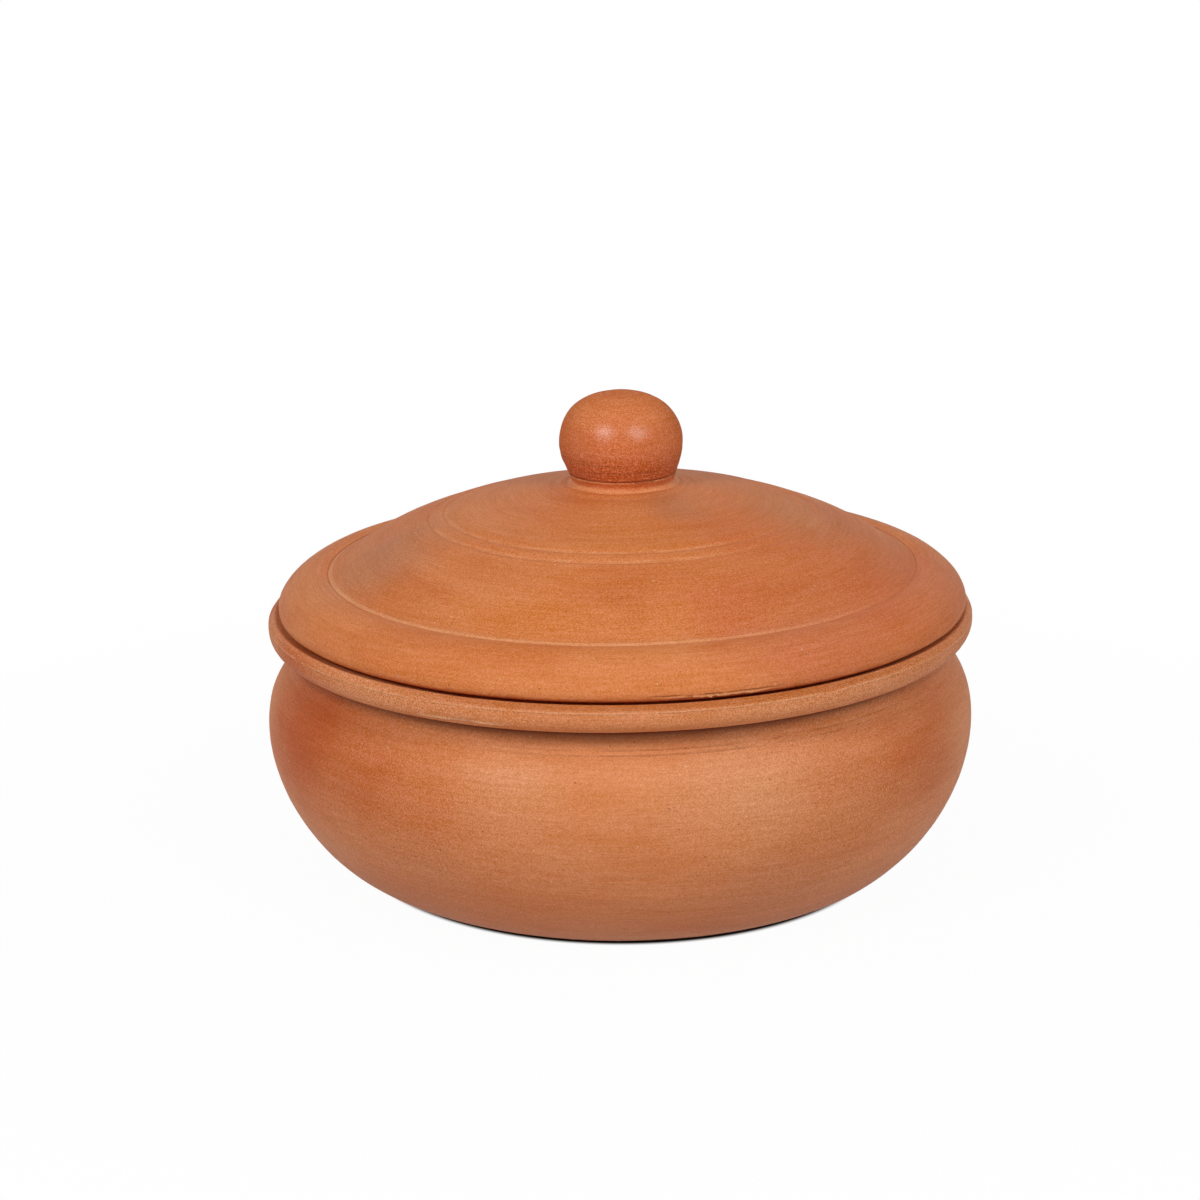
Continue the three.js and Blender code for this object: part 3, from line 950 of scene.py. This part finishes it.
def make_pot():
    rings = outline("pot")
    arc = rings.arc
    lip = int(np.argmax(np.where(rings.height > LIP_LOWEST, rings.radius, 0)))
    shoulder = nearest(rings.height, SHOULDER_HEIGHT, 0, lip)
    crease = nearest(rings.height, CREASE_HEIGHT, lip, lip + LIP_RINGS)
    chip = nearest(rings.height, CHIP_HEIGHT, shoulder, lip)
    swell(rings, shoulder, *SHOULDER_SWELL)
    swell(rings, crease, *CREASE_SWELL)
    crest = crease + int(np.argmax(rings.height[crease:crease + LIP_RINGS]))
    hollow = nearest(rings.height, HOLLOW_HEIGHT, shoulder, lip)
    red_ring = nearest(rings.height, RED_RING_HEIGHT, 0, lip)

    def offset(skin):
        out = marks(skin, POT_LUMPS, POT_THROWS)
        for turn in CHIP_TURNS:
            out += dent(skin, on_ring(rings, chip, turn), CHIP_SIZE, CHIP_DEPTH)
        return out

    shift = FOOT_SHIFT * ease(-rings.height, -FOOT_SHIFT_HEIGHT, 0)
    piece = turned("pot_body", rings, POT_FACETS, offset, shift)
    circles = {
        "red ring": arc[red_ring], "shoulder": arc[shoulder], "hollow": arc[hollow], "chip": arc[chip],
        "lip": arc[lip], "crease": arc[crease], "rim": (arc[crease] + arc[crest]) / 2,
    }
    made = clay(
        "pot_clay", POT_TONES, MATT, circles, POT_LINES,
        patches=placed(POT_PATCHES, rings, rings.height, 0, lip),
        fade=FOOT_FADE, coarse=SANDY_LIP, grazing_grain_sides=GRAZING_GRAIN_SIDES,
    )
    dress(piece, made, "pot", "pot")


# Lid

def make_lid():
    rings = outline("lid")
    arc = rings.arc
    last = len(arc)
    rim = int(np.argmax(rings.radius))
    groove = rim + int(np.argmin(rings.bend[rim:]))
    foot = groove + int(np.argmax(rings.bend[groove:groove + GROOVE_RINGS]))
    scratches = {name: nearest(rings.radius, radius, rim, last) for name, radius in SCRATCH_RADII.items()}
    swell(rings, groove, *GROOVE_SWELL)
    for scratch in scratches.values():
        swell(rings, scratch, *SCRATCH_SWELL)
        swell(rings, nearest(arc, arc[scratch] - SCRATCH_CUT_BEFORE, rim, last), *SCRATCH_CUT)
    climb = FILLET_RISE * np.exp(-np.maximum(rings.radius - FILLET_RADIUS, 0) / FILLET_RUN)
    rings.height = rings.height + np.where(arc > arc[rim], climb, 0)

    def offset(skin):
        depth, size = LID_WARP
        out = depth * noise(skin.place + LID_WARP_FROM, size) + marks(skin, LID_LUMPS, LID_THROWS)
        tear = ridge(skin, arc[rim] - TEAR_BEFORE, TEAR_WIDTH)
        out -= TEAR_DEPTH * tear * noise(skin.place, TEAR_SIZE)
        full, end = BURR_SPANS
        burr = ridge(skin, arc[rim] - BURR_BEFORE, BURR_WIDTH)
        burr = burr * ease(-angle_from(skin, BURR_TURN), -end, -full)
        return out + BURR_HEIGHT * burr * (BURR_LEVEL + noise(skin.place, BURR_SIZE))

    piece = turned("lid_shell", rings, LID_FACETS, offset, LID_SHIFT)
    circles = {"rim": arc[rim], "foot": arc[foot], "groove": arc[groove]}
    circles.update((name, arc[scratch]) for name, scratch in scratches.items())
    ring_lines = [line._replace(circle=name) for name in scratches for line in RING_LINES]
    made = clay(
        "lid_clay", LID_TONES, LID_FINISH, circles, [*LID_LINES, *ring_lines],
        patches=placed(LID_PATCHES, rings, rings.radius, rim, last), coarse=SMOOTH_RIM,
    )
    dress(piece, made, "lid", "lid")


# Knob and the coil round its stem

def make_knob():
    rings = outline("knob")
    widest = int(np.argmax(rings.radius))
    brim = nearest(rings.height, BRIM_HEIGHT, 0, widest)
    swell(rings, brim, *BRIM_SWELL)

    def offset(skin):
        out = marks(skin, KNOB_LUMPS, ())
        low = ease(-skin.place[..., 2], -KNOB_PLAIN, -KNOB_RINGED)
        for spacing, depth, more in KNOB_THROWS:
            out += (depth + more * low) * throwing_lines(skin, spacing)
        return out

    shift = STEM_SHIFT + (BALL_SHIFT - STEM_SHIFT) * ease(rings.height, *BALL_SHIFT_HEIGHTS)
    shift = shift + TOP_SHIFT * ease(rings.height, *TOP_SHIFT_HEIGHTS)
    piece = turned("knob_ball", rings, KNOB_FACETS, offset, shift)
    circles = {"bottom": rings.arc[0], "brim": rings.arc[brim]}
    for crease, height in KNOB_CREASE_HEIGHTS.items():
        circles[crease] = rings.arc[nearest(rings.height, height, 0, widest)]
    made = clay(
        "knob_clay", KNOB_TONES, KNOB_FINISH, circles, KNOB_LINES, fade=KNOB_FADE, coarse=KNOB_COARSE,
    )
    dress(piece, made, "lid", "knob")


def make_collar():
    rings = outline("knob_collar")
    top = int(np.argmax(COLLAR_TOP_WEIGHT * rings.height + rings.radius))
    tuck = ease(rings.height, *TUCK_HEIGHTS)
    rings.radius = rings.radius + TUCK_OUT * tuck
    rings.height = rings.height + TUCK_UP * tuck
    rings.height = rings.height - COLLAR_SINK * ease(rings.radius, FILLET_RADIUS, rings.radius.max())

    def offset(skin):
        return marks(skin, COLLAR_LUMPS, COLLAR_THROWS)

    piece = turned("knob_coil", rings, COLLAR_FACETS, offset, STEM_SHIFT)
    circles = {"top": rings.arc[top], "edge": rings.arc[np.argmax(rings.radius)]}
    made = clay("collar_clay", COLLAR_TONES, COLLAR_FINISH, circles, COLLAR_LINES, fade=COLLAR_FADE)
    dress(piece, made, "lid", "knob_collar")


# Stage

def seen_directly(tree):
    """1 on rays from the camera and on mirrored or refracted ones, and 0 on the light that the room gives."""
    path = tree.nodes.new("ShaderNodeLightPath")
    total = path.outputs["Is Camera Ray"]
    for kind in ("Is Glossy Ray", "Is Transmission Ray"):
        larger = tree.nodes.new("ShaderNodeMath")
        larger.operation = "MAXIMUM"
        tree.links.new(total, larger.inputs[0])
        tree.links.new(path.outputs[kind], larger.inputs[1])
        total = larger.outputs[0]
    return total


def make_room():
    world = bpy.data.worlds.new("room")
    bpy.context.scene.world = world
    world.use_nodes = True
    tree = world.node_tree
    heading = tree.nodes.new("ShaderNodeTexCoord")
    split = tree.nodes.new("ShaderNodeSeparateXYZ")
    tree.links.new(heading.outputs["Generated"], split.inputs[0])
    climb = tree.nodes.new("ShaderNodeMapRange")
    tree.links.new(split.outputs["Z"], climb.inputs["Value"])
    climb.inputs["To Min"].default_value = WALL_LEVEL
    climb.inputs["To Max"].default_value = CEILING_LEVEL
    level = tree.nodes.new("ShaderNodeMapRange")
    tree.links.new(seen_directly(tree), level.inputs["Value"])
    tree.links.new(climb.outputs["Result"], level.inputs["To Min"])
    level.inputs["To Max"].default_value = 1.0
    background = tree.nodes["Background"]
    background.inputs["Color"].default_value = (1, 1, 1, 1)
    tree.links.new(level.outputs["Result"], background.inputs["Strength"])


def make_floor():
    half = FLOOR_SIDE / 2
    corners = [(x, y, -FLOOR_DROP) for x, y in ((-half, -half), (half, -half), (half, half), (-half, half))]
    mesh = bpy.data.meshes.new("floor")
    mesh.from_pydata(corners, [], [(0, 1, 2, 3)])
    floor = bpy.data.objects.new("floor", mesh)
    bpy.context.scene.collection.objects.link(floor)

    g = Graph("floor_paper")
    mesh.materials.append(g.material)
    distance = g.measure("LENGTH", g.place)
    # Painted contact shadow: the floor's colour goes dark close to the pot's foot
    grey = g.spread(distance, CONTACT_FROM, CONTACT_END, CONTACT_SHADOW_GREY, FLOOR_GREY)
    g.feed(g.shader.inputs["Base Color"], grey)
    g.feed(g.shader.inputs["Roughness"], FLOOR_ROUGHNESS)
    white = g.math(
        "ADD",
        g.spread(distance, SHADOW_FROM, SHADOW_FAINT, 0.0, FAINT_SHARE),
        g.spread(distance, SHADOW_FAINT, SHADOW_END, 0.0, 1 - FAINT_SHARE),
    )
    share = g.math("MULTIPLY", white, seen_directly(g.tree))
    glow = g.add("Emission", Color=(1, 1, 1, 1), Strength=1.0)
    mixed = g.add("MixShader")
    g.feed(mixed.inputs[0], share)
    g.feed(mixed.inputs[1], g.shader.outputs[0])
    g.feed(mixed.inputs[2], glow.outputs[0])
    g.feed(g.tree.nodes["Material Output"].inputs["Surface"], mixed.outputs[0])


def make_lights():
    rise = math.radians(BOX_RISE)
    for side, level in zip((-1, 1), BOX_LEVELS):
        turn = math.radians(side * BOX_TURN)
        lamp = bpy.data.lights.new("soft_box", "AREA")
        lamp.size = BOX_SIDE
        lamp.energy = level * math.pi ** 2 * BOX_DISTANCE ** 2
        box = bpy.data.objects.new("soft_box", lamp)
        box.location = (
            BOX_DISTANCE * math.cos(rise) * math.sin(turn),
            -BOX_DISTANCE * math.cos(rise) * math.cos(turn),
            BOX_DISTANCE * math.sin(rise),
        )
        box.rotation_euler = (math.pi / 2 - rise, 0, turn)
        box.visible_camera = False
        bpy.context.scene.collection.objects.link(box)


def make_camera():
    data = bpy.data.cameras.new("camera")
    data.lens = LENS
    data.sensor_width = SENSOR
    camera = bpy.data.objects.new("camera", data)
    camera.location = (0, -CAMERA_DISTANCE, CAMERA_HEIGHT)
    camera.rotation_euler = (math.radians(90 - CAMERA_DOWN), 0, math.radians(CAMERA_LEFT))
    bpy.context.scene.collection.objects.link(camera)
    bpy.context.scene.camera = camera


make_camera()
make_pot()
make_lid()
make_knob()
make_collar()
make_room()
make_floor()
make_lights()
bpy.context.scene.view_settings.view_transform = "Standard"
